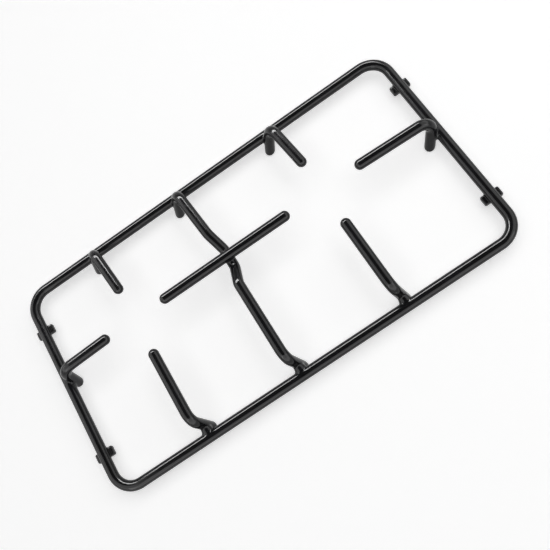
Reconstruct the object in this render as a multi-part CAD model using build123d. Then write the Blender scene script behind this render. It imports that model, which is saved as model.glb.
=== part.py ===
from build123d import *
import os

# Hob pan support: one piece, welded from bent round bar and enamelled all over.
# X runs along the long side, Y to the back, Z up. The feet stand on Z = 0.

# Round bar, measured over the enamel
BAR_D = 11.0
BAR_R = BAR_D / 2

# Welds: how far one bar sinks into another, and how far the nugget stands out past the bar
WELD_SINK = 2.0
FRONT_SINK = 0.5
LEFT_SINK = 5.0
DIP_SINK = 3.0
WELD_BULGE = 1.2
WELD_R = BAR_R + WELD_BULGE

# Frame loop, measured on the bar's axis
FRAME_X = 450.0
FRAME_Y = 234.0
CORNER_R = 22.0
RAIL_Z = 14.0

# Fingers: rise over the rail and bends
FINGER_RISE = 22.0
FINGER_Z = RAIL_Z + FINGER_RISE
LEG_SHARE = FINGER_RISE / FINGER_Z
ELBOW_R = 12.0
FOOT_ROUND = 2.0

# How far each elbow is set along its rail from the tip, the foot on from the elbow, and the foot inwards
BACK_SLANT = -5.5
BACK_KICK = -12.0
BACK_LEAN = 6.0
FRONT_KICK = 6.0
FRONT_LEAN = -9.0
RIGHT_SLANT = -3.0
RIGHT_KICK = -9.0
RIGHT_LEAN = 11.0
LEFT_SLANT = -2.0
LEFT_KICK = -6.0
LEFT_LEAN = -3.0

# Burner centres, from the left rail, the right rail and the frame's middle line
LEFT_REACH = 99.4
RIGHT_REACH = 126.6
BURNER_Y = 18.7
LEFT_X = LEFT_REACH - FRAME_X / 2
RIGHT_X = FRAME_X / 2 - RIGHT_REACH

# Open gap from a burner's centre to the finger tips round it
LEFT_GAP_X = 31.5
RIGHT_GAP_X = 38.4
BACK_GAP_Y = 32.6
FRONT_GAP_Y = 36.7

# Crossbar, with a dip half way between the burners that the long bar lies in
DIP_DEPTH = BAR_D - DIP_SINK
DIP_FLAT = 11.0
DIP_RUN = 20.0
DIP_SIDE = 4.8
DIP_X = (LEFT_X + RIGHT_X) / 2
CROSS_X = DIP_X - DIP_SIDE

# Locating pads across the short rails, counted from where the corner bends end
PAD_LONG = 10.0
PAD_OVER = 4.5
PAD_THICK = 6.0
PAD_DROP = 5.0
PAD_ROUND = 1.6
BACK_PAD_RUN = 19.0
FRONT_PAD_RUN = 22.0

# Where the elbows are: each leg passes its rail at the weld's depth, and leans from there
STRAIGHT_Y = FRAME_Y / 2 - CORNER_R
BACK_ELBOW_Y = FRAME_Y / 2 - BAR_D + WELD_SINK + BACK_LEAN * LEG_SHARE
FRONT_ELBOW_Y = -(FRAME_Y / 2 - BAR_D + FRONT_SINK + FRONT_LEAN * LEG_SHARE)
RIGHT_ELBOW_X = FRAME_X / 2 - BAR_D + WELD_SINK + RIGHT_LEAN * LEG_SHARE
LEFT_ELBOW_X = -(FRAME_X / 2 - BAR_D + LEFT_SINK + LEFT_LEAN * LEG_SHARE)


def bar_along(points):
    """Round bar swept along straight runs joined by bends."""
    path = FilletPolyline(*points, radius=ELBOW_R)
    start = Plane(origin=path @ 0, z_dir=path % 0)
    return sweep(start * Circle(BAR_R), path=path)


def below_foot(top, foot):
    """Point on the leg's line carried on below the floor, so that the floor cuts it level."""
    return foot + (foot - top) * (BAR_D / (top.Z - foot.Z))


def stand_on_floor(bar):
    """Cut a bar off level with the floor and round the edge of each sole."""
    box = bar.bounding_box()
    under = Box(
        box.size.X + BAR_D,
        box.size.Y + BAR_D,
        2 * BAR_D,
        align=(Align.CENTER, Align.CENTER, Align.MAX),
    )
    cut = bar - Pos(box.center().X, box.center().Y, 0) * under
    soles = cut.faces().filter_by(Axis.Z).group_by(Axis.Z)[0]
    return fillet(soles.edges(), FOOT_ROUND)


def leg_weld(corner, foot, rail_side):
    """Weld nugget half way between a leg and the axis of the rail that it stands against."""
    on_leg = corner + (foot - corner) * LEG_SHARE
    on_rail = Vector(on_leg.X, on_leg.Y, RAIL_Z)
    if rail_side.X:
        on_rail.X = rail_side.X * FRAME_X / 2
    else:
        on_rail.Y = rail_side.Y * FRAME_Y / 2
    return Pos(*((on_leg + on_rail) / 2)) * Sphere(WELD_R)


def finger(tip, corner, foot, rail_side):
    """Finger with a domed tip, an elbow over the rail and a leg welded to the rail's inside."""
    outward = (corner - tip).normalized()
    dome = tip + outward * BAR_R
    bar = bar_along([dome, corner, below_foot(corner, foot)])
    return stand_on_floor(bar) + Pos(*dome) * Sphere(BAR_R) + leg_weld(corner, foot, rail_side)


def back_leg(x):
    """Elbow and foot of a leg at the back rail, for a finger whose tip is at x."""
    corner = Vector(x + BACK_SLANT, BACK_ELBOW_Y, FINGER_Z)
    foot = Vector(x + BACK_SLANT + BACK_KICK, BACK_ELBOW_Y - BACK_LEAN, 0)
    return corner, foot


def front_leg(x):
    """Elbow and foot of a leg at the front rail, for a finger whose tip is at x."""
    corner = Vector(x, FRONT_ELBOW_Y, FINGER_Z)
    foot = Vector(x + FRONT_KICK, FRONT_ELBOW_Y + FRONT_LEAN, 0)
    return corner, foot


def back_finger(x):
    """Finger from the back rail towards the burner at x."""
    tip = Vector(x, BURNER_Y + BACK_GAP_Y, FINGER_Z)
    return finger(tip, *back_leg(x), Vector(0, 1, 0))


def front_finger(x):
    """Finger from the front rail towards the burner at x."""
    tip = Vector(x, BURNER_Y - FRONT_GAP_Y, FINGER_Z)
    return finger(tip, *front_leg(x), Vector(0, -1, 0))


def right_finger():
    """Finger from the right rail towards the right burner."""
    tip = Vector(RIGHT_X + RIGHT_GAP_X, BURNER_Y, FINGER_Z)
    corner = Vector(RIGHT_ELBOW_X, BURNER_Y + RIGHT_SLANT, FINGER_Z)
    foot = Vector(RIGHT_ELBOW_X - RIGHT_LEAN, BURNER_Y + RIGHT_SLANT + RIGHT_KICK, 0)
    return finger(tip, corner, foot, Vector(1, 0, 0))


def left_finger():
    """Finger from the left rail towards the left burner."""
    tip = Vector(LEFT_X - LEFT_GAP_X, BURNER_Y, FINGER_Z)
    corner = Vector(LEFT_ELBOW_X, BURNER_Y + LEFT_SLANT, FINGER_Z)
    foot = Vector(LEFT_ELBOW_X + LEFT_LEAN, BURNER_Y + LEFT_SLANT + LEFT_KICK, 0)
    return finger(tip, corner, foot, Vector(-1, 0, 0))


def frame_loop():
    """Closed rounded rectangle of bar."""
    outline = RectangleRounded(FRAME_X, FRAME_Y, CORNER_R)
    path = Pos(0, 0, RAIL_Z) * outline.wire()
    start = Plane(origin=path @ 0, z_dir=path % 0)
    return sweep(start * Circle(BAR_R), path=path)


def crossbar():
    """Bar from back to front with a leg at each end and a dip under the long bar."""
    low = FINGER_Z - DIP_DEPTH
    back_top, back_foot = back_leg(CROSS_X)
    front_top, front_foot = front_leg(CROSS_X)
    bar = bar_along([
        below_foot(back_top, back_foot),
        back_top,
        Vector(CROSS_X, BURNER_Y + DIP_FLAT + DIP_RUN, FINGER_Z),
        Vector(DIP_X, BURNER_Y + DIP_FLAT, low),
        Vector(DIP_X, BURNER_Y - DIP_FLAT, low),
        Vector(CROSS_X, BURNER_Y - DIP_FLAT - DIP_RUN, FINGER_Z),
        front_top,
        below_foot(front_top, front_foot),
    ])
    back_weld = leg_weld(back_top, back_foot, Vector(0, 1, 0))
    front_weld = leg_weld(front_top, front_foot, Vector(0, -1, 0))
    return stand_on_floor(bar) + back_weld + front_weld


def long_bar():
    """Straight bar between the burners, domed at both ends and welded into the crossbar's dip."""
    left_dome = LEFT_X + LEFT_GAP_X + BAR_R
    right_dome = RIGHT_X - RIGHT_GAP_X - BAR_R
    middle = (left_dome + right_dome) / 2
    bar = Pos(middle, BURNER_Y, FINGER_Z) * Rot(0, 90, 0) * Cylinder(BAR_R, right_dome - left_dome)
    for x in (left_dome, right_dome):
        bar += Pos(x, BURNER_Y, FINGER_Z) * Sphere(BAR_R)
    return bar + Pos(DIP_X, BURNER_Y, FINGER_Z - DIP_DEPTH / 2) * Sphere(WELD_R)


def pad(side, y):
    """Small locating pad welded across a short rail."""
    block = Box(BAR_D + 2 * PAD_OVER, PAD_LONG, PAD_THICK)
    block = fillet(block.edges(), PAD_ROUND)
    return Pos(side * FRAME_X / 2, y, RAIL_Z - PAD_DROP) * block


def pan_support():
    """The whole support, fused into one solid."""
    whole = frame_loop() + crossbar() + long_bar()
    for x in (LEFT_X, RIGHT_X):
        whole += back_finger(x)
        whole += front_finger(x)
    whole += left_finger() + right_finger()
    for side in (1, -1):
        whole += pad(side, STRAIGHT_Y - BACK_PAD_RUN)
        whole += pad(side, FRONT_PAD_RUN - STRAIGHT_Y)
    return whole.solids()[0]


os.makedirs("parts", exist_ok=True)
part = pan_support()
part.label = "pan_support"
export_step(part, "parts/pan_support.step")
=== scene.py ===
"""Studio scene of a hob pan support: round steel bar, bent, welded and enamelled gloss black.

Named sizes are in millimetres. Meshes are made in metres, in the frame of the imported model.
"""

from __future__ import annotations

import logging
import math
from dataclasses import dataclass, field
from enum import Enum
from typing import Protocol

import bpy
import numpy as np
from mathutils import Matrix, Vector, noise


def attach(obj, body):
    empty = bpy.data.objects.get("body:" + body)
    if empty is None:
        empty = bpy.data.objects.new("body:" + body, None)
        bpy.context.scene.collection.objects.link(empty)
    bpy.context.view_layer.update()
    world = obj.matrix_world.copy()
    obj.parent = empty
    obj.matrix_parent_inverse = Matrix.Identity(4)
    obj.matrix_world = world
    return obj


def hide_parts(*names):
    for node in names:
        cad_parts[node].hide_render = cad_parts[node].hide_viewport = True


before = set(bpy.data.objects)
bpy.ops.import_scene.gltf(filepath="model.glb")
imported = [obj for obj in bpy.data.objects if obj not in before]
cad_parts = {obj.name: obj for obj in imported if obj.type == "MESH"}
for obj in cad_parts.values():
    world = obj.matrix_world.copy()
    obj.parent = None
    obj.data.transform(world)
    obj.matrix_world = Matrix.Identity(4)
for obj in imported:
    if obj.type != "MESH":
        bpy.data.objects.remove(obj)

LOG = logging.getLogger("pan_support")
MM = 0.001
NODE = "pan_support"
BODY = "root"
# Least lengths and slopes that are divided by.
LEAST_LENGTH = 1e-9
LEAST_SLOPE = 1e-6
LEAST_STEEPNESS = 0.05
# How many fillets away a form still counts, and the largest power that is raised.
BLEND_REACH = 12.0
LARGEST_POWER = 60.0

Point = tuple[float, float, float]


def linear(hex_colour: str) -> tuple[float, float, float, float]:
    """Turn an sRGB hex colour into the linear colour that shaders take.

    Args:
        hex_colour: Colour as "#RRGGBB".

    Returns:
        Linear red, green and blue, with an alpha of 1.
    """
    channels = [int(hex_colour[i:i + 2], 16) / 255 for i in (1, 3, 5)]
    # The sRGB curve is straight up to 0.04045 and a power of 2.4 above that.
    low = [c / 12.92 for c in channels]
    high = [((c + 0.055) / 1.055) ** 2.4 for c in channels]
    red, green, blue = (b if c > 0.04045 else a for c, a, b in zip(channels, low, high))
    return (red, green, blue, 1.0)


def per_metre(pitch: float) -> float:
    """Texture scale at which one cell of a pattern measures pitch millimetres."""
    return 1 / (pitch * MM)


def raised(power: np.ndarray) -> np.ndarray:
    """Exponential of a power, held at the largest power either way."""
    return np.exp(np.clip(power, -LARGEST_POWER, LARGEST_POWER))


def add_node(
    tree: bpy.types.NodeTree,
    kind: str,
    values: dict[str | int, object] | None = None,
    links: dict[str | int, bpy.types.NodeSocket] | None = None,
    **settings: object,
) -> bpy.types.Node:
    """Add a node with its settings, socket values and incoming links.

    Args:
        tree: Node tree that takes the node.
        kind: Blender's type name of the node.
        values: Values for input sockets, by the socket's name or number.
        links: Output sockets to link in, by the input socket's name or number.
        **settings: Properties of the node itself.

    Returns:
        The new node.
    """
    node = tree.nodes.new(kind)
    for name, value in settings.items():
        setattr(node, name, value)
    for name, value in (values or {}).items():
        node.inputs[name].default_value = value
    for name, socket in (links or {}).items():
        tree.links.new(socket, node.inputs[name])
    return node


class Rail(Enum):
    """Rail of the loop that a leg stands against, as the direction out to it."""

    BACK = (0, 1)
    FRONT = (0, -1)
    LEFT = (-1, 0)
    RIGHT = (1, 0)


class Form(Protocol):
    """Solid form that knows how far any point is from its surface."""

    def reach(self, points: np.ndarray) -> tuple[np.ndarray, np.ndarray]:
        """Signed distance from the surface, and the direction away from it."""

    def near(self, points: np.ndarray, margin: float) -> np.ndarray:
        """Pick out the points that lie within a margin of the form."""


@dataclass
class Bar:
    """Round bar along straight runs joined by bends, with domed ends.

    Attributes:
        corners: Corners of the bar's axis before it is bent.
        bend: Radius of the bends, on the axis.
        radius: Radius of the bar over the enamel.
        closed: True where the last corner joins the first.
        bend_steps: How many straight steps stand for a bend.
        runs: Points along the bent axis.
    """

    corners: list[Point]
    bend: float
    radius: float
    closed: bool = False
    bend_steps: int = 30
    runs: np.ndarray = field(init=False)

    def __post_init__(self) -> None:
        """Work out the runs of the bent axis once."""
        self.runs = self.axis()

    def axis(self) -> np.ndarray:
        """Bend the axis at its corners.

        Returns:
            Points along the bent axis, the first one repeated at the end of a closed bar.
        """
        corners = [np.array(corner, dtype=float) for corner in self.corners]
        last = len(corners) - 1
        points = []
        for i, corner in enumerate(corners):
            if not self.closed and i in (0, last):
                points.append(corner)
                continue
            points.extend(self.bent(corners[i - 1], corner, corners[(i + 1) % len(corners)]))
        if self.closed:
            points.append(points[0])
        return np.array(points)

    def bent(self, before: np.ndarray, corner: np.ndarray, after: np.ndarray) -> list[np.ndarray]:
        """Round one corner of the axis.

        Args:
            before: Corner before this one.
            corner: Corner to round.
            after: Corner after this one.

        Returns:
            Points on the bend's arc.
        """
        back = (before - corner) / np.linalg.norm(before - corner)
        ahead = (after - corner) / np.linalg.norm(after - corner)
        half = math.acos(float(np.clip(back @ ahead, -1, 1))) / 2
        middle = (back + ahead) / np.linalg.norm(back + ahead)
        centre = corner + middle * self.bend / math.sin(half)
        across = (ahead - back) / np.linalg.norm(ahead - back)
        sweep = math.pi / 2 - half
        angles = np.linspace(-sweep, sweep, self.bend_steps + 1)
        return [centre + self.bend * (math.sin(a) * across - math.cos(a) * middle) for a in angles]

    def reach(self, points: np.ndarray) -> tuple[np.ndarray, np.ndarray]:
        """Measure how far points are from the bar's surface.

        Args:
            points: Points to measure from, one a row.

        Returns:
            Signed distances, and unit directions away from the axis.
        """
        start = self.runs[:-1]
        run = self.runs[1:] - start
        square = (run * run).sum(axis=1)
        along = points @ run.T - (start * run).sum(axis=1)
        share = np.clip(along / square, 0, 1)
        gap = (points * points).sum(axis=1)[:, None] - 2 * points @ start.T
        gap += (start * start).sum(axis=1)
        gap += share * (share * square - 2 * along)
        nearest = gap.argmin(axis=1)
        rows = np.arange(len(points))
        foot = start[nearest] + share[rows, nearest][:, None] * run[nearest]
        away = points - foot
        length = np.linalg.norm(away, axis=1)
        return length - self.radius, away / np.maximum(length, LEAST_LENGTH)[:, None]

    def near(self, points: np.ndarray, margin: float) -> np.ndarray:
        """Pick out the points that lie within a margin of the bar's box.

        Args:
            points: Points to pick from, one a row.
            margin: How far outside the box still counts.

        Returns:
            True for each point that is picked out.
        """
        low = self.runs.min(axis=0) - self.radius - margin
        high = self.runs.max(axis=0) + self.radius + margin
        return ((points > low) & (points < high)).all(axis=1)


@dataclass
class Nugget:
    """Round weld nugget between two bars.

    Attributes:
        centre: Middle of the weld.
        radius: Radius of the nugget over the enamel.
    """

    centre: Point
    radius: float

    def reach(self, points: np.ndarray) -> tuple[np.ndarray, np.ndarray]:
        """Measure how far points are from the nugget's surface.

        Args:
            points: Points to measure from, one a row.

        Returns:
            Signed distances, and unit directions away from the centre.
        """
        away = points - np.array(self.centre)
        length = np.linalg.norm(away, axis=1)
        return length - self.radius, away / np.maximum(length, LEAST_LENGTH)[:, None]

    def near(self, points: np.ndarray, margin: float) -> np.ndarray:
        """Pick out the points that lie within a margin of the nugget."""
        return np.linalg.norm(points - np.array(self.centre), axis=1) < self.radius + margin


@dataclass
class Pad:
    """Small block with rounded edges, welded across a rail.

    Attributes:
        centre: Middle of the block.
        size: Length, width and height of the block.
        edge: Radius of its rounded edges.
    """

    centre: Point
    size: Point
    edge: float

    def reach(self, points: np.ndarray) -> tuple[np.ndarray, np.ndarray]:
        """Measure how far points are from the block's surface.

        Args:
            points: Points to measure from, one a row.

        Returns:
            Signed distances, and unit directions away from the surface.
        """
        away = points - np.array(self.centre)
        over = np.abs(away) - (np.array(self.size) / 2 - self.edge)
        outside = np.maximum(over, 0)
        length = np.linalg.norm(outside, axis=1)
        inside = np.minimum(over.max(axis=1), 0)
        steepest = np.eye(3)[over.argmax(axis=1)]
        unit = outside / np.maximum(length, LEAST_LENGTH)[:, None]
        direction = np.where((length > 0)[:, None], unit, steepest)
        return length + inside - self.edge, direction * np.sign(away)

    def near(self, points: np.ndarray, margin: float) -> np.ndarray:
        """Pick out the points that lie within a margin of the block."""
        reach = np.array(self.size) / 2 + margin
        return (np.abs(points - np.array(self.centre)) < reach).all(axis=1)


@dataclass(frozen=True)
class Stock:
    """Bar stock and welding that every sub-assembly shares.

    Attributes:
        radius: Radius of the bar over the enamel.
        elbow: Radius of the bends in fingers and crossbar, on the axis.
        bulge: How far a weld nugget stands out past the bar.
        rail_z: Height of the loop's axis over the floor.
        finger_z: Height of the fingers' axis over the floor.
    """

    radius: float = 5.5
    elbow: float = 12.0
    bulge: float = 0.4
    rail_z: float = 14.0
    finger_z: float = 36.0

    @property
    def diameter(self) -> float:
        """Thickness of the bar."""
        return 2 * self.radius

    @property
    def leg_share(self) -> float:
        """Share of a leg's drop at which it passes the rail."""
        return (self.finger_z - self.rail_z) / self.finger_z


@dataclass
class FrameLoop:
    """Closed rounded rectangle of bar, with locating pads across its short rails.

    Attributes:
        stock: Bar that it is bent from.
        length: Length on the axis, along X.
        depth: Depth on the axis, along Y.
        corner: Radius of its corners, on the axis.
        pad_size: Length, width and height of a pad.
        pad_edge: Radius of a pad's edges.
        pad_drop: How far a pad's middle lies under the rail's axis.
        back_pad_run: From the end of a back corner to a pad's middle.
        front_pad_run: From the end of a front corner to a pad's middle.
    """

    stock: Stock
    length: float = 450.0
    depth: float = 234.0
    corner: float = 22.0
    pad_size: Point = (20.0, 10.0, 6.0)
    pad_edge: float = 1.6
    pad_drop: float = 5.0
    back_pad_run: float = 19.0
    front_pad_run: float = 22.0

    def forms(self) -> list[Form]:
        """Lay out the loop and its pads.

        Returns:
            The loop's bar and its four pads.
        """
        x, y, z = self.length / 2, self.depth / 2, self.stock.rail_z
        corners = [(x, y, z), (-x, y, z), (-x, -y, z), (x, -y, z)]
        loop = Bar(corners, self.corner, self.stock.radius, closed=True)
        straight = y - self.corner
        places = (straight - self.back_pad_run, self.front_pad_run - straight)
        pads = [
            Pad((side * x, place, z - self.pad_drop), self.pad_size, self.pad_edge)
            for side in (1, -1)
            for place in places
        ]
        return [loop, *pads]


@dataclass(frozen=True)
class Stance:
    """How a leg stands at its rail.

    Attributes:
        slant: How far the elbow is set along the rail from the finger's tip.
        kick: How far the foot is set along the rail from the elbow.
        lean: How far the foot is set inwards from the elbow.
        sink: How far the leg sinks into the rail at its weld. Below zero it stands clear of it.
    """

    slant: float
    kick: float
    lean: float
    sink: float


@dataclass
class Legs:
    """How legs stand against the loop's inside, with their welds.

    Attributes:
        stock: Bar that they are bent from.
        loop: Loop that they are welded to.
        stances: How the legs stand at each rail.
    """

    stock: Stock
    loop: FrameLoop
    stances: dict[Rail, Stance] = field(default_factory=lambda: {
        Rail.BACK: Stance(-5.5, -12.0, 6.0, 2.0),
        Rail.FRONT: Stance(0.0, 7.0, -8.0, -2.0),
        Rail.LEFT: Stance(-2.0, -6.0, -3.0, 5.0),
        Rail.RIGHT: Stance(-3.0, -9.0, 11.0, 2.0),
    })

    def ends(self, rail: Rail, place: float) -> tuple[Point, Point]:
        """Find a leg's elbow and foot.

        Args:
            rail: Rail that the leg stands against.
            place: Where along the rail its finger's tip is.

        Returns:
            Corner of the elbow, and middle of the foot on the floor.
        """
        stance = self.stances[rail]
        inside = self.stock.diameter - stance.sink - stance.lean * self.stock.leg_share
        elbow = self.spot(rail, place + stance.slant, inside, self.stock.finger_z)
        foot = self.spot(rail, place + stance.slant + stance.kick, inside + stance.lean, 0.0)
        return elbow, foot

    def spot(self, rail: Rail, along: float, inside: float, height: float) -> Point:
        """Place a point by its rail.

        Args:
            rail: Rail that the point belongs to.
            along: Where along the rail it is.
            inside: How far inside the rail's axis it is.
            height: How far over the floor it is.

        Returns:
            The point.
        """
        out_x, out_y = rail.value
        if out_x:
            return (out_x * (self.loop.length / 2 - inside), along, height)
        return (along, out_y * (self.loop.depth / 2 - inside), height)

    def below(self, elbow: Point, foot: Point) -> Point:
        """Carry a leg's line on below the floor, which cuts its sole level."""
        share = self.stock.diameter / self.stock.finger_z
        return tuple(f + (f - e) * share for e, f in zip(elbow, foot))

    def weld(self, rail: Rail, elbow: Point, foot: Point) -> Nugget:
        """Weld a leg to its rail.

        Args:
            rail: Rail that the leg stands against.
            elbow: Corner of the leg's elbow.
            foot: Middle of its foot.

        Returns:
            Nugget half way between the two axes.
        """
        on_leg = [e + (f - e) * self.stock.leg_share for e, f in zip(elbow, foot)]
        out_x, out_y = rail.value
        on_rail = [
            out_x * self.loop.length / 2 if out_x else on_leg[0],
            out_y * self.loop.depth / 2 if out_y else on_leg[1],
            self.stock.rail_z,
        ]
        centre = tuple((a + b) / 2 for a, b in zip(on_leg, on_rail))
        return Nugget(centre, self.stock.radius + self.stock.bulge)


@dataclass
class Finger:
    """Finger with a domed tip, an elbow over the rail and a welded leg.

    Attributes:
        legs: Where its leg stands.
        rail: Rail that it rises from.
        place: Where along the rail it is.
        tip: How far along the other axis its tip reaches.
    """

    legs: Legs
    rail: Rail
    place: float
    tip: float

    def forms(self) -> list[Form]:
        """Bend the finger and weld it.

        Returns:
            Its bar and its weld.
        """
        stock = self.legs.stock
        elbow, foot = self.legs.ends(self.rail, self.place)
        out_x, out_y = self.rail.value
        if out_x:
            dome = (self.tip + out_x * stock.radius, self.place, stock.finger_z)
        else:
            dome = (self.place, self.tip + out_y * stock.radius, stock.finger_z)
        bar = Bar([dome, elbow, self.legs.below(elbow, foot)], stock.elbow, stock.radius)
        return [bar, self.legs.weld(self.rail, elbow, foot)]


@dataclass
class Crossbar:
    """Bar from back to front with a leg at each end and a dip for the long bar.

    Attributes:
        legs: Where its legs stand.
        dip_x: Where the dip is along X.
        burner_y: Where the dip is along Y.
        dip_flat: Half the length of the dip's bottom.
        dip_run: Length of the slope on each side of it.
        dip_side: How far the dip steps to the right of the bar's ends.
        dip_depth: How far the dip's axis lies under the long bar's.
    """

    legs: Legs
    dip_x: float
    burner_y: float
    dip_flat: float = 11.0
    dip_run: float = 20.0
    dip_side: float = 4.8
    dip_depth: float = 8.0

    def forms(self) -> list[Form]:
        """Bend the crossbar and weld its legs.

        Returns:
            Its bar and its two welds.
        """
        stock = self.legs.stock
        x = self.dip_x - self.dip_side
        top = stock.finger_z
        low = top - self.dip_depth
        ramp = self.dip_flat + self.dip_run
        back, back_foot = self.legs.ends(Rail.BACK, x)
        front, front_foot = self.legs.ends(Rail.FRONT, x)
        corners = [
            self.legs.below(back, back_foot),
            back,
            (x, self.burner_y + ramp, top),
            (self.dip_x, self.burner_y + self.dip_flat, low),
            (self.dip_x, self.burner_y - self.dip_flat, low),
            (x, self.burner_y - ramp, top),
            front,
            self.legs.below(front, front_foot),
        ]
        bar = Bar(corners, stock.elbow, stock.radius)
        back_weld = self.legs.weld(Rail.BACK, back, back_foot)
        front_weld = self.legs.weld(Rail.FRONT, front, front_foot)
        return [bar, back_weld, front_weld]


@dataclass
class LongBar:
    """Straight bar between the burners, lying in the crossbar's dip.

    Attributes:
        stock: Bar that it is cut from.
        left: Tip at its left end.
        right: Tip at its right end.
        cross: Crossbar that it lies on.
    """

    stock: Stock
    left: float
    right: float
    cross: Crossbar

    def forms(self) -> list[Form]:
        """Lay the bar and its weld in the dip.

        Returns:
            The bar and its weld.
        """
        stock = self.stock
        ends = (self.left + stock.radius, self.right - stock.radius)
        y, z = self.cross.burner_y, stock.finger_z
        bar = Bar([(x, y, z) for x in ends], stock.elbow, stock.radius)
        seat = (self.cross.dip_x, y, z - self.cross.dip_depth / 2)
        return [bar, Nugget(seat, stock.radius + stock.bulge)]


@dataclass(frozen=True)
class VitreousEnamel:
    """Gloss black vitreous enamel, dipped and fired on the welded steel.

    The glass coat gives a hard bright line where it mirrors a lamp and near black elsewhere. It
    pulls into a faint orange peel as it cools, and its fine bloom makes some stretches a touch
    greyer and less sharp.

    Attributes:
        name: What the material is called.
        glass: Colour of the clear coat.
        bloom: Colour where the bloom is thickest.
        bloom_pitch: Distance between clouds of bloom.
        bloom_detail: How finely the clouds break up.
        bloom_from: Level of a cloud at which bloom begins to show.
        bloom_to: Level of a cloud at which it is thickest.
        ior: Index of refraction, matched to the dark edges of the bars.
        sharp: Roughness where the coat is clearest.
        dull: Roughness where it is haziest.
        haze_pitch: Distance between hazy spots.
        haze_detail: How finely the spots break up.
        haze_from: Level of a spot at which the coat begins to dull.
        haze_to: Level of a spot at which it is dullest.
        peel_pitch: Distance between crests of the orange peel.
        peel_detail: How finely the crests break up.
        peel_height: Height of the crests.
        peel_strength: Share of that height that shows.
    """

    name: str = "Vitreous enamel, gloss black, on steel bar"
    glass: str = "#19191A"
    bloom: str = "#212124"
    bloom_pitch: float = 26.0
    bloom_detail: float = 3.0
    bloom_from: float = 0.4
    bloom_to: float = 0.72
    ior: float = 1.33
    sharp: float = 0.09
    dull: float = 0.16
    haze_pitch: float = 7.0
    haze_detail: float = 4.0
    haze_from: float = 0.3
    haze_to: float = 0.7
    # Real orange peel is about 1 mm from crest to crest. That is under two pixels here, so it is
    # drawn wider.
    peel_pitch: float = 2.6
    peel_detail: float = 1.0
    peel_height: float = 0.014
    peel_strength: float = 0.1

    def material(self) -> bpy.types.Material:
        """Build the enamel's shader.

        Returns:
            The finished material.
        """
        material = bpy.data.materials.new(self.name)
        material.use_nodes = True
        tree = material.node_tree
        tree.nodes.clear()
        place = add_node(tree, "ShaderNodeTexCoord").outputs["Object"]
        cloud = add_node(
            tree,
            "ShaderNodeTexNoise",
            {"Scale": per_metre(self.bloom_pitch), "Detail": self.bloom_detail},
            {"Vector": place},
        )
        colour = add_node(tree, "ShaderNodeValToRGB", links={"Fac": cloud.outputs["Fac"]})
        low, high = colour.color_ramp.elements
        low.position, low.color = self.bloom_from, linear(self.glass)
        high.position, high.color = self.bloom_to, linear(self.bloom)
        haze = add_node(
            tree,
            "ShaderNodeTexNoise",
            {"Scale": per_metre(self.haze_pitch), "Detail": self.haze_detail},
            {"Vector": place},
        )
        gloss = add_node(
            tree,
            "ShaderNodeMapRange",
            {
                "From Min": self.haze_from,
                "From Max": self.haze_to,
                "To Min": self.sharp,
                "To Max": self.dull,
            },
            {"Value": haze.outputs["Fac"]},
        )
        peel = add_node(
            tree,
            "ShaderNodeTexNoise",
            {"Scale": per_metre(self.peel_pitch), "Detail": self.peel_detail},
            {"Vector": place},
        )
        bump = add_node(
            tree,
            "ShaderNodeBump",
            {"Strength": self.peel_strength, "Distance": self.peel_height * MM},
            {"Height": peel.outputs["Fac"]},
        )
        shader = add_node(
            tree,
            "ShaderNodeBsdfPrincipled",
            {"IOR": self.ior},
            {
                "Base Color": colour.outputs["Color"],
                "Roughness": gloss.outputs["Result"],
                "Normal": bump.outputs["Normal"],
            },
        )
        add_node(tree, "ShaderNodeOutputMaterial", links={"Surface": shader.outputs["BSDF"]})
        return material


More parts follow.
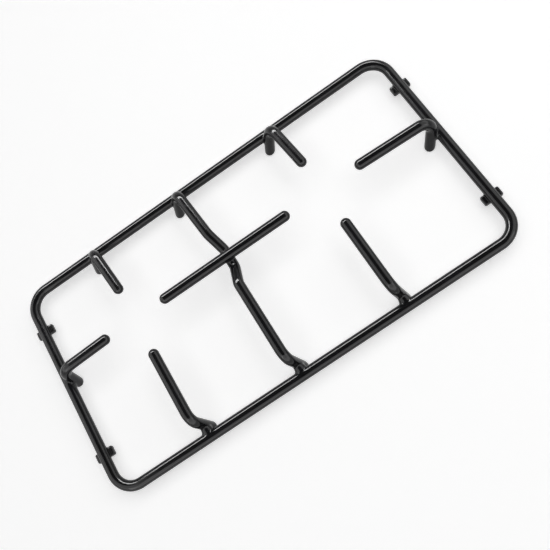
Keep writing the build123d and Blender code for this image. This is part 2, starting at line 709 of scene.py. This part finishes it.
@dataclass
class PanSupport:
    """The whole support, skinned as one piece with its welds run smooth under the enamel.

    Attributes:
        stock: Bar that it is made from.
        loop: Its frame loop.
        left_reach: From the left rail to the left burner's centre.
        right_reach: From the right rail to the right burner's centre.
        burner_y: How far the burners' centres lie behind the middle.
        left_gap: From the left burner's centre to the tips at its sides.
        right_gap: From the right burner's centre to the tips at its sides.
        back_gap: From a burner's centre to the tip behind it.
        front_gap: From a burner's centre to the tip in front of it.
        fillet: How softly the enamel runs from one bar to another.
        sole_edge: How softly a sole's edge is rounded.
        grid: Size of the skin's faces.
        lay_steps: Steps that first lay the skin on the surface.
        even_rounds: How often it is then evened out.
        relay_steps: Steps that lay it back after each of those rounds.
        sag_pitch: Distance between swells in the thickness of the enamel.
        sag: Height of those swells.
    """

    stock: Stock
    loop: FrameLoop
    left_reach: float = 99.4
    right_reach: float = 126.6
    burner_y: float = 18.7
    left_gap: float = 31.5
    right_gap: float = 38.4
    back_gap: float = 32.6
    front_gap: float = 36.7
    fillet: float = 0.55
    sole_edge: float = 0.8
    grid: float = 1.1
    lay_steps: int = 4
    even_rounds: int = 4
    relay_steps: int = 2
    sag_pitch: float = 9.0
    sag: float = 0.03

    def forms(self) -> list[Form]:
        """Lay out every bar, pad and weld.

        Returns:
            All forms that the skin covers.
        """
        left = self.left_reach - self.loop.length / 2
        right = self.loop.length / 2 - self.right_reach
        legs = Legs(self.stock, self.loop)
        cross = Crossbar(legs, (left + right) / 2, self.burner_y)
        parts = [
            self.loop,
            cross,
            LongBar(self.stock, left + self.left_gap, right - self.right_gap, cross),
            Finger(legs, Rail.LEFT, self.burner_y, left - self.left_gap),
            Finger(legs, Rail.RIGHT, self.burner_y, right + self.right_gap),
        ]
        for x in (left, right):
            parts.append(Finger(legs, Rail.BACK, x, self.burner_y + self.back_gap))
            parts.append(Finger(legs, Rail.FRONT, x, self.burner_y - self.front_gap))
        forms = []
        for part in parts:
            forms.extend(part.forms())
            LOG.info("laid out %s", type(part).__name__)
        return forms

    def surface(self, forms: list[Form], points: np.ndarray) -> tuple[np.ndarray, np.ndarray]:
        """Measure how far points are from the enamel, with welds run smooth and soles cut level.

        Args:
            forms: Forms under the enamel.
            points: Points to measure from, one a row.

        Returns:
            Signed distances, and the slope of the distance at each point.
        """
        weight = np.full(len(points), math.exp(-LARGEST_POWER))
        slope = np.zeros_like(points)
        for form in forms:
            close = np.flatnonzero(form.near(points, BLEND_REACH * self.fillet))
            if not len(close):
                continue
            distance, away = form.reach(points[close])
            share = raised(-distance / self.fillet)
            weight[close] += share
            slope[close] += share[:, None] * away
        distance = -self.fillet * np.log(weight)
        slope /= weight[:, None]
        body = raised(distance / self.sole_edge)
        floor = raised(-points[:, 2] / self.sole_edge)
        total = body + floor
        slope *= (body / total)[:, None]
        slope[:, 2] -= floor / total
        return self.sole_edge * np.log(total), slope

    def settle(self, forms: list[Form], points: np.ndarray, steps: int) -> np.ndarray:
        """Lay points onto the enamel's surface.

        Args:
            forms: Forms under the enamel.
            points: Points near the surface, one a row.
            steps: How many steps to take.

        Returns:
            The points on the surface.
        """
        for _ in range(steps):
            distance, slope = self.surface(forms, points)
            steep = np.maximum((slope * slope).sum(axis=1), LEAST_STEEPNESS)
            move = np.clip(distance / steep, -self.grid, self.grid)
            points = points - move[:, None] * slope
        return points

    def evened(self, points: np.ndarray, edges: np.ndarray) -> np.ndarray:
        """Move each point half way to the middle of its neighbours.

        Args:
            points: Points of the skin, one a row.
            edges: Pairs of points that are neighbours.

        Returns:
            The moved points.
        """
        total = np.zeros_like(points)
        np.add.at(total, edges[:, 0], points[edges[:, 1]])
        np.add.at(total, edges[:, 1], points[edges[:, 0]])
        count = np.bincount(edges.ravel(), minlength=len(points))
        return (points + total / np.maximum(count, 1)[:, None]) / 2

    def swells(self, points: np.ndarray) -> np.ndarray:
        """Height of the enamel's swells at each point."""
        places = points / self.sag_pitch
        return self.sag * np.array([noise.noise(Vector(place)) for place in places])

    def raw_mesh(self, source: bpy.types.Object) -> bpy.types.Mesh:
        """Cover a solid with an even grid of faces.

        Args:
            source: Object whose mesh is covered. It isn't changed.

        Returns:
            The grid as a new mesh.
        """
        blank = bpy.data.objects.new("blank", source.data.copy())
        bpy.context.scene.collection.objects.link(blank)
        cover = blank.modifiers.new("cover", "REMESH")
        cover.mode = "VOXEL"
        cover.voxel_size = self.grid * MM
        ready = blank.evaluated_get(bpy.context.evaluated_depsgraph_get())
        mesh = bpy.data.meshes.new_from_object(ready)
        spare = blank.data
        bpy.data.objects.remove(blank)
        bpy.data.meshes.remove(spare)
        return mesh

    def build(self, source: bpy.types.Object) -> bpy.types.Object:
        """Skin the support.

        Args:
            source: CAD object that the skin stands for.

        Returns:
            The skin as a new object.
        """
        forms = self.forms()
        mesh = self.raw_mesh(source)
        flat = np.empty(3 * len(mesh.vertices))
        mesh.vertices.foreach_get("co", flat)
        points = flat.reshape(-1, 3) / MM
        ends = np.empty(2 * len(mesh.edges), dtype=np.int32)
        mesh.edges.foreach_get("vertices", ends)
        edges = ends.reshape(-1, 2)
        points = self.settle(forms, points, self.lay_steps)
        for _ in range(self.even_rounds):
            points = self.settle(forms, self.evened(points, edges), self.relay_steps)
        _, slope = self.surface(forms, points)
        # The swells fade out towards the soles, which stay level.
        level = np.clip(points[:, 2] / self.stock.radius, 0, 1)
        points = points + slope * (level * self.swells(points))[:, None]
        mesh.vertices.foreach_set("co", (points * MM).ravel())
        mesh.shade_smooth()
        mesh.update()
        steep = np.maximum(np.linalg.norm(slope, axis=1), LEAST_SLOPE)
        mesh.normals_split_custom_set_from_vertices((slope / steep[:, None]).tolist())
        mesh.materials.clear()
        skin = bpy.data.objects.new("enamelled_pan_support", mesh)
        bpy.context.scene.collection.objects.link(skin)
        return skin

    def dress(self, skin: bpy.types.Object) -> None:
        """Enamel the skin and put it in the CAD node's place.

        Args:
            skin: Skin of the support.
        """
        skin.data.materials.append(VitreousEnamel().material())
        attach(skin, BODY)
        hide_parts(NODE)


@dataclass(frozen=True)
class StudioPaper:
    """Seamless white paper, matt, which gives an even white ground and keeps soft shadows.

    Attributes:
        name: What the material is called.
        colour: Colour of the paper.
        glow: How far it is lifted towards white where it is seen.
        radius: How far away it turns up, in metres.
        cove: Radius of that turn, in metres.
        height: How high it stands, in metres.
        sides: How many flat stretches its ring has.
        cove_steps: How many steps the turn has.
    """

    name: str = "Seamless studio paper, matt white"
    colour: str = "#F0F0F0"
    glow: float = 0.56
    radius: float = 3.2
    cove: float = 0.6
    height: float = 1.6
    sides: int = 96
    cove_steps: int = 10

    def material(self) -> bpy.types.Material:
        """Build the paper's shader, lifted to white where the camera or a reflection sees it.

        Returns:
            The finished material.
        """
        material = bpy.data.materials.new(self.name)
        material.use_nodes = True
        tree = material.node_tree
        tree.nodes.clear()
        matt = add_node(tree, "ShaderNodeBsdfDiffuse", {"Color": linear(self.colour)})
        ray = add_node(tree, "ShaderNodeLightPath").outputs
        mirrored = add_node(
            tree,
            "ShaderNodeMath",
            links={0: ray["Is Glossy Ray"], 1: ray["Is Transmission Ray"]},
            operation="MAXIMUM",
        )
        seen = add_node(
            tree,
            "ShaderNodeMath",
            links={0: ray["Is Camera Ray"], 1: mirrored.outputs[0]},
            operation="MAXIMUM",
        )
        lift = add_node(
            tree, "ShaderNodeMath", {1: self.glow}, {0: seen.outputs[0]}, operation="MULTIPLY"
        )
        light = add_node(tree, "ShaderNodeEmission", links={"Strength": lift.outputs[0]})
        both = add_node(
            tree,
            "ShaderNodeAddShader",
            links={0: matt.outputs["BSDF"], 1: light.outputs["Emission"]},
        )
        add_node(tree, "ShaderNodeOutputMaterial", links={"Surface": both.outputs["Shader"]})
        return material

    def build(self) -> bpy.types.Object:
        """Lay the paper under the feet and turn it up all round.

        Returns:
            The paper as a new object.
        """
        turns = [math.pi / 2 * step / self.cove_steps for step in range(self.cove_steps + 1)]
        flat = self.radius - self.cove
        profile = [(flat + self.cove * math.sin(t), self.cove * (1 - math.cos(t))) for t in turns]
        profile.append((self.radius, self.height))
        bearings = [2 * math.pi * side / self.sides for side in range(self.sides)]
        points = [(r * math.cos(b), r * math.sin(b), z) for r, z in profile for b in bearings]
        faces = [tuple(range(self.sides))]
        for ring in range(len(profile) - 1):
            low, high = ring * self.sides, (ring + 1) * self.sides
            for side in range(self.sides):
                after = (side + 1) % self.sides
                faces.append((low + side, high + side, high + after, low + after))
        mesh = bpy.data.meshes.new("paper")
        mesh.from_pydata(points, [], faces)
        mesh.materials.append(self.material())
        paper = bpy.data.objects.new("paper", mesh)
        bpy.context.scene.collection.objects.link(paper)
        return paper


class Task(Enum):
    """What a softbox is there for."""

    FILL = "light alone, with no gleam in the enamel"
    GLEAM = "gleam in the enamel alone"


@dataclass(frozen=True)
class Softbox:
    """Softbox aimed at the support.

    Attributes:
        name: Name of the lamp.
        azimuth: Bearing that it stands at, in degrees from +X towards +Y.
        elevation: Height that it stands at, in degrees over the floor.
        distance: How far away it stands, in metres.
        width: Width of its face, in metres.
        height: Height of its face, in metres.
        radiance: Brightness of its face.
        task: What it is there for.
    """

    name: str
    azimuth: float
    elevation: float
    distance: float
    width: float
    height: float
    radiance: float
    task: Task

    def build(self) -> bpy.types.Object:
        """Set up the lamp.

        Returns:
            The lamp as a new object.
        """
        lamp = bpy.data.lights.new(self.name, "AREA")
        lamp.shape = "RECTANGLE"
        lamp.size = self.width
        lamp.size_y = self.height
        # Power grows with the face, so that radiance alone sets how bright the face looks.
        lamp.energy = self.radiance * math.pi * self.width * self.height
        bearing, rise = math.radians(self.azimuth), math.radians(self.elevation)
        out = Vector((
            math.cos(bearing) * math.cos(rise),
            math.sin(bearing) * math.cos(rise),
            math.sin(rise),
        ))
        stand = bpy.data.objects.new(self.name, lamp)
        stand.rotation_euler = out.to_track_quat("Z", "Y").to_euler()
        stand.location = out * self.distance
        stand.visible_camera = False
        stand.visible_diffuse = self.task is not Task.GLEAM
        stand.visible_glossy = self.task is not Task.FILL
        bpy.context.scene.collection.objects.link(stand)
        return stand


@dataclass
class Studio:
    """White studio with soft lamps and the camera.

    Attributes:
        boxes: Lamps.
        ambient: Brightness of the dark room around them.
        frame_px: Side of the square picture.
        focal_px: Focal length, in pixels of that picture.
        axis_px: Where the lens's axis meets the picture, from its left side.
        camera_at: Where the camera stands.
        right: Direction to the picture's right.
        up: Direction to the picture's top.
    """

    boxes: tuple[Softbox, ...] = (
        Softbox("back_strip", 90, 46, 1.18, 1.3, 0.26, 26.0, Task.GLEAM),
        Softbox("left_card", 180, 38, 1.6, 3.0, 1.5, 2.2, Task.GLEAM),
        Softbox("front_card", 270, 27, 1.6, 4.0, 1.4, 2.4, Task.GLEAM),
        Softbox("right_card", 0, 36, 1.6, 2.4, 1.2, 2.0, Task.GLEAM),
        Softbox("key", 12, 48, 1.6, 1.6, 1.2, 0.8, Task.FILL),
        Softbox("overhead", 90, 88, 2.0, 3.0, 3.0, 0.75, Task.FILL),
    )
    ambient: float = 0.03
    frame_px: float = 550.0
    focal_px: float = 711.0
    axis_px: float = 245.0
    camera_at: Point = (51.74, -260.61, 672.54)
    right: Point = (0.82263, -0.49761, -0.27508)
    up: Point = (0.56172, 0.7862, 0.25762)

    def light(self) -> None:
        """Set up the lamps and the room."""
        for box in self.boxes:
            box.build()
            LOG.info("lamp %s", box.name)
        world = bpy.data.worlds.new("studio")
        world.use_nodes = True
        shade = world.node_tree.nodes["Background"]
        shade.inputs["Color"].default_value = linear("#FFFFFF")
        shade.inputs["Strength"].default_value = self.ambient
        bpy.context.scene.world = world

    def shoot(self) -> bpy.types.Object:
        """Set up the camera at the photograph's angle.

        Returns:
            The camera as a new object.
        """
        lens = bpy.data.cameras.new("camera")
        lens.sensor_fit = "HORIZONTAL"
        lens.lens = lens.sensor_width * self.focal_px / self.frame_px
        lens.shift_x = 0.5 - self.axis_px / self.frame_px
        right, up = Vector(self.right).normalized(), Vector(self.up).normalized()
        turn = Matrix((right, up, right.cross(up))).transposed()
        camera = bpy.data.objects.new("camera", lens)
        camera.matrix_world = Matrix.Translation(Vector(self.camera_at) * MM) @ turn.to_4x4()
        bpy.context.scene.collection.objects.link(camera)
        bpy.context.scene.camera = camera
        return camera


def main() -> None:
    """Build the support, the studio and the camera."""
    logging.basicConfig(level=logging.INFO, format="%(message)s")
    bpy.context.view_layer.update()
    stock = Stock()
    support = PanSupport(stock, FrameLoop(stock))
    skin = support.build(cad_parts[NODE])
    support.dress(skin)
    LOG.info("skin of %d faces", len(skin.data.polygons))
    paper = StudioPaper().build()
    LOG.info("floor of %s", paper.name)
    studio = Studio()
    studio.light()
    camera = studio.shoot()
    LOG.info("camera %s", camera.name)
    bpy.context.scene.view_settings.view_transform = "Standard"


if __name__ == "__main__":
    main()
